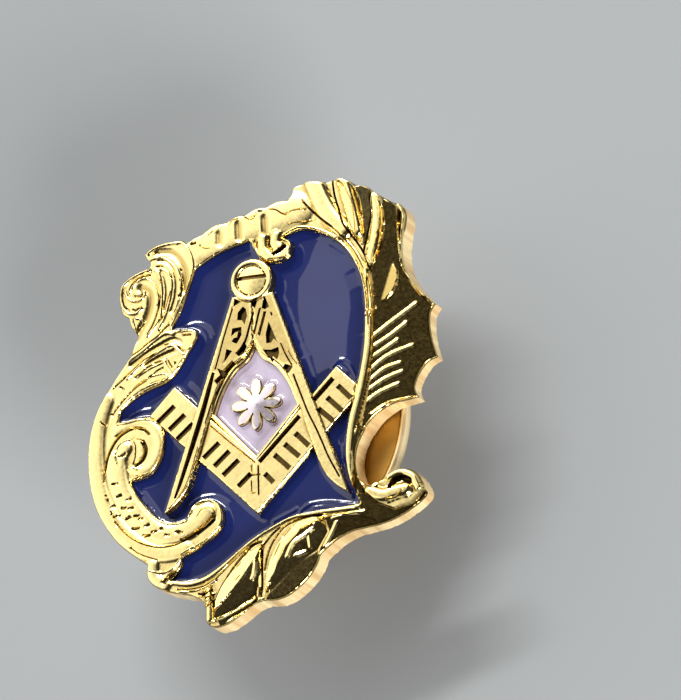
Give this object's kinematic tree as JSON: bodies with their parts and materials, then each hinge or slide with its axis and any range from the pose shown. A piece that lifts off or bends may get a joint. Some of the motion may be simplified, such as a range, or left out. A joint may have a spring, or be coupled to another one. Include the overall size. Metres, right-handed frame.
{
  "type": "masonic badge",
  "caption": "Small lapel badge with cast leaf scrolls round blue enamel, a gold square and compasses, and a post held by a butterfly clutch.",
  "frame": {"origin": "centre of the flat end of the clutch's hub, on the post's axis and on the surface that the badge rests on", "axes": "+Z is the face's outward normal, +Y points to the top of the emblem, +X to its right as seen from the front"},
  "size_m": [0.0144, 0.0173, 0.0068],
  "materials": {
    "gold_plate": "polished gold plate over struck brass",
    "blue_enamel": "glossy hard enamel, fired and polished",
    "lilac_enamel": "glossy hard enamel, fired and polished",
    "clutch_brass": "bright pressed brass"
  },
  "bodies": {
    "root": {"body": "gold_plate", "enamel_upper_left": "blue_enamel", "enamel_upper_right": "blue_enamel", "enamel_lower": "blue_enamel", "enamel_lower_right": "blue_enamel", "enamel_centre": "lilac_enamel", "clutch": "clutch_brass"}
  },
  "joints": []
}
